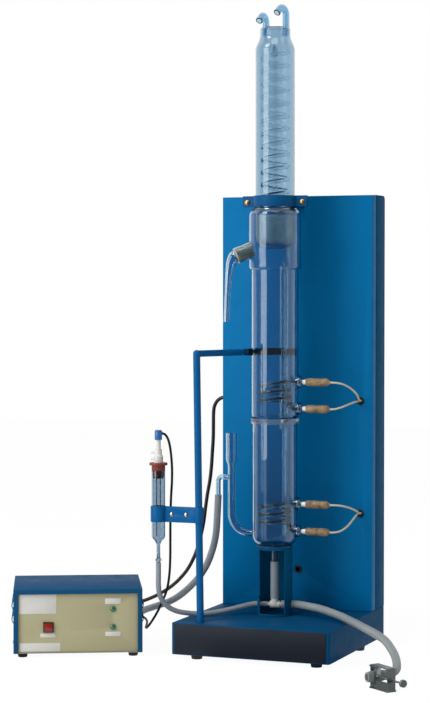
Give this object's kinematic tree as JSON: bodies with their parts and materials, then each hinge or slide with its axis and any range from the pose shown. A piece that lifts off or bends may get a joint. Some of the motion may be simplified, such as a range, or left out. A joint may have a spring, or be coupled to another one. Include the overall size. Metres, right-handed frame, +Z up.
{
  "type": "glass water distiller",
  "caption": "Tall two-stage glass still on a blue steel stand, with electric heater coils, a coil condenser, a level sensor, hoses and a separate controller box.",
  "frame": {"origin": "centre of the stand's base, on the surface it stands on", "axes": "+X to the stand's right seen from the front, +Y to its back panel, +Z up"},
  "size_m": [0.875, 0.515, 1.1845],
  "materials": {
    "blue_sheet": "satin blue paint",
    "blue_cover": "satin blue paint, darker side",
    "dark_plate": "satin black paint",
    "navy_sheet": "dark blue paint",
    "blue_rod": "satin blue paint",
    "controller_blue": "blue paint",
    "controller_beige": "beige paint",
    "zinc_sheet": "zinc plate",
    "steel": "plated",
    "brass": "brass",
    "black_rubber": "matte",
    "stopper_rubber": "matte red-brown",
    "clear_glass": "clear",
    "quartz": "clear quartz",
    "frosted_glass": "ground joint",
    "element_wire": "dark resistance wire",
    "ceramic": "fired clay colour",
    "white_ceramic": "white",
    "lead_sleeve": "braided sleeve",
    "silicone_hose": "translucent silicone",
    "silicone_pad": "silicone",
    "black_cable": "PVC sheath",
    "white_plastic": "white",
    "blue_plastic": "blue",
    "black_plastic": "black",
    "red_plastic": "red",
    "green_lens": "green lens",
    "label_grey": "blank label",
    "iron_core": "laminated core",
    "board": "circuit board",
    "clip_steel": "nickel plate"
  },
  "bodies": {
    "stand": {"base_housing": "blue_sheet", "base_nameplate": "dark_plate", "base_bottom_plate": "navy_sheet", "base_feet": "black_rubber", "foot_screws": "steel", "back_panel": "blue_sheet", "rear_cover": "blue_cover", "cover_screws": "steel", "panel_grommets": "black_rubber", "upright_rod": "blue_rod", "upright_fixings": "steel", "cradle_ring": "navy_sheet", "clamp_bracket": "blue_cover", "clamp_strap": "blue_rod", "clamp_screws": "brass", "glass_liners": "silicone_pad", "support_pipe": "blue_cover", "lower_boiler": "clear_glass", "upper_boiler": "clear_glass", "vapour_tube": "quartz", "condenser_jacket": "clear_glass", "condenser_coil": "quartz", "water_nozzles": "clear_glass", "level_device": "clear_glass", "heater_coils": "quartz", "heater_elements": "element_wire", "heater_connectors": "ceramic", "heater_beads": "white_ceramic", "heater_leads": "lead_sleeve", "sensor_tube": "clear_glass", "sensor_stopper": "stopper_rubber", "sensor_plug": "white_plastic", "sensor_electrodes": "steel", "sensor_cap": "blue_plastic", "sensor_bracket": "blue_rod", "bracket_screws": "steel", "drop_hose": "silicone_hose", "hose_tee": "white_plastic", "sensor_hose": "silicone_hose", "drain_hose": "silicone_hose", "overflow_hose": "silicone_hose", "overflow_coil": "silicone_hose", "sensor_cable": "black_cable", "power_cable": "black_cable", "cable_glands": "black_plastic", "clip_frame": "clip_steel", "controller_cover": "controller_blue", "controller_chassis": "zinc_sheet", "controller_front": "controller_beige", "controller_labels": "label_grey", "controller_feet": "black_rubber", "button_bezel": "black_plastic", "indicator_lamps": "green_lens", "mains_inlet": "black_plastic", "transformer": "iron_core", "circuit_board": "board"},
    "button": {"push_button": "red_plastic"},
    "pinch_jaw": {"clip_jaw": "clip_steel"},
    "pinch_screw": {"clip_screw": "clip_steel"},
    "spout": {"delivery_spout": "frosted_glass"}
  },
  "joints": [
    {"name": "button_press", "type": "slide", "parent": "stand", "child": "button", "axis": [-0.4384, 0.8988, 0], "range_m": [0, 0.003], "stiffness_N_per_m": 300},
    {"name": "clip_jaw_slide", "type": "slide", "parent": "stand", "child": "pinch_jaw", "axis": [0.788, -0.6157, 0], "range_m": [0, 0.01]},
    {"name": "clip_screw_turn", "type": "hinge", "parent": "pinch_jaw", "child": "pinch_screw", "pos_m": [0.29, -0.306, 0.02], "axis": [0.788, -0.6157, 0], "range_deg": [0, 1800]},
    {"name": "spout_swivel", "type": "hinge", "parent": "stand", "child": "spout", "pos_m": [-0.05461, -0.0345, 0.73327], "axis": [-0.7863, -0.4913, -0.3746], "range_deg": [-90, 90]}
  ],
  "couplings": [
    {"joint": "clip_screw_turn", "follows": "clip_jaw_slide", "rad_per_m": 3141.6}
  ]
}
